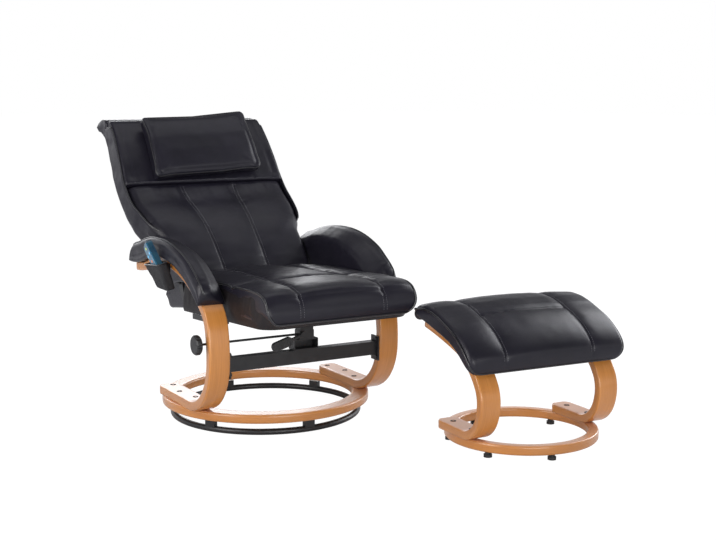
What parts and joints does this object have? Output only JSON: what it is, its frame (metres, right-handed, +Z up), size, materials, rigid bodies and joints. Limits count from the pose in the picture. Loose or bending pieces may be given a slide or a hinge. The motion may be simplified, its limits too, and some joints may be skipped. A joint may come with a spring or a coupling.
{
  "type": "reflexology chair",
  "caption": "Black leather massage recliner with bent plywood legs and arms on a swivelling ring base, with head pillow, remote in an arm pouch and matching ottoman.",
  "frame": {"origin": "on the floor, on the swivel axis in the middle of the ring base", "axes": "+Z up along the swivel axis, +Y towards the back of the chair, +X towards the sitter's left"},
  "size_m": [1.1317, 1.6627, 0.9222],
  "materials": {
    "wood": "clear lacquered bent beech plywood, satin",
    "black_leather": "black coated leather, soft sheen",
    "black_steel": "satin black powder coat",
    "bright_steel": "zinc plated",
    "black_plastic": "fine grained",
    "glide_nylon": "plain nylon",
    "board": "unfinished bent plywood",
    "pouch_cloth": "dark webbing cloth",
    "remote_blue": "gloss",
    "button_green": "matt",
    "button_blue": "matt",
    "button_red": "matt",
    "motor_can": "moulded",
    "heat_film": "film"
  },
  "bodies": {
    "floor_stand": {"floor_ring": "black_steel", "ring_posts": "black_steel", "glide_pads": "glide_nylon"},
    "swivel_base": {"base_ring": "wood", "leg_right": "wood", "leg_left": "wood", "foot_bolts": "black_steel", "arm_pad_right": "black_leather", "arm_pad_left": "black_leather", "arm_screws": "bright_steel", "crossbar": "black_steel", "crossbar_flanges": "black_steel", "flange_bolts": "bright_steel", "lock_housing": "black_steel", "clamp_block": "black_steel", "rod_guide": "black_plastic", "support_frame": "black_steel", "slide_rails": "black_steel", "control_box": "black_plastic", "power_inlet": "black_plastic", "remote_pouch": "pouch_cloth", "pouch_tab": "pouch_cloth"},
    "knob": {"recline_knob": "black_plastic", "lock_rod": "black_steel"},
    "release_lever": {"lever_arm": "black_steel", "lever_paddle": "black_plastic"},
    "seat": {"seat_base": "black_leather", "seat_cushion": "black_leather", "seat_runners": "glide_nylon", "seat_motors": "motor_can", "hinge_brackets": "black_steel", "hinge_pins": "bright_steel", "hinge_washers": "glide_nylon"},
    "backrest": {"back_board": "board", "back_shell": "black_leather", "back_block": "black_leather", "lower_back_cushion": "black_leather", "head_cushion": "black_leather", "back_lugs": "black_steel", "back_motors": "motor_can", "heat_pad": "heat_film"},
    "pillow": {"head_pillow": "black_leather"},
    "remote": {"remote_body": "black_plastic", "remote_face": "remote_blue"},
    "power_key": {"power_button": "button_green"},
    "mode_key": {"mode_button": "button_blue"},
    "speed_key": {"speed_button": "button_blue"},
    "heat_key": {"heat_button": "button_red"},
    "ottoman": {"ottoman_ring": "wood", "ottoman_leg_right": "wood", "ottoman_leg_left": "wood", "ottoman_bolts": "black_steel", "ottoman_glides": "black_plastic", "ottoman_board": "board", "ottoman_cushion": "black_leather"}
  },
  "joints": [
    {"name": "swivel", "type": "hinge", "parent": "floor_stand", "child": "swivel_base", "pos_m": [0, 0, 0.041], "axis": [0, 0, 1], "continuous": true},
    {"name": "recline", "type": "hinge", "parent": "seat", "child": "backrest", "pos_m": [0, 0.146, 0.412], "axis": [1, 0, 0], "range_deg": [0, 28]},
    {"name": "seat_glide", "type": "slide", "parent": "swivel_base", "child": "seat", "axis": [0, 0.9983, -0.0576], "range_m": [0, 0.06]},
    {"name": "knob_turn", "type": "hinge", "parent": "swivel_base", "child": "knob", "pos_m": [-0.343, -0.253, 0.29], "axis": [1, 0, 0], "range_deg": [-360, 0]},
    {"name": "lever_lift", "type": "hinge", "parent": "swivel_base", "child": "release_lever", "pos_m": [-0.008, -0.271, 0.292], "axis": [0, 1, 0], "range_deg": [0, 14], "stiffness_Nm_per_rad": 1.5, "springref_deg": -11.46},
    {"name": "pillow_slide", "type": "slide", "parent": "backrest", "child": "pillow", "axis": [0, 0.5691, 0.8223], "range_m": [-0.02, 0.04]},
    {"name": "remote_lift", "type": "slide", "parent": "swivel_base", "child": "remote", "axis": [-0.1638, 0.6157, 0.7708], "range_m": [0, 0.12]},
    {"name": "power_press", "type": "slide", "parent": "remote", "child": "power_key", "axis": [0.9781, 0, 0.2079], "range_m": [0, 0.0012], "stiffness_N_per_m": 400, "springref_m": -0.001},
    {"name": "mode_press", "type": "slide", "parent": "remote", "child": "mode_key", "axis": [0.9781, 0, 0.2079], "range_m": [0, 0.0012], "stiffness_N_per_m": 400, "springref_m": -0.001},
    {"name": "speed_press", "type": "slide", "parent": "remote", "child": "speed_key", "axis": [0.9781, 0, 0.2079], "range_m": [0, 0.0012], "stiffness_N_per_m": 400, "springref_m": -0.001},
    {"name": "heat_press", "type": "slide", "parent": "remote", "child": "heat_key", "axis": [0.9781, 0, 0.2079], "range_m": [0, 0.0012], "stiffness_N_per_m": 400, "springref_m": -0.001},
    {"name": "ottoman_move", "type": "slide", "parent": "floor_stand", "child": "ottoman", "axis": [0.46, -0.8879, 0], "range_m": [0, 0.3]}
  ],
  "couplings": [
    {"joint": "seat_glide", "follows": "recline", "m_per_rad": 0.1187}
  ]
}
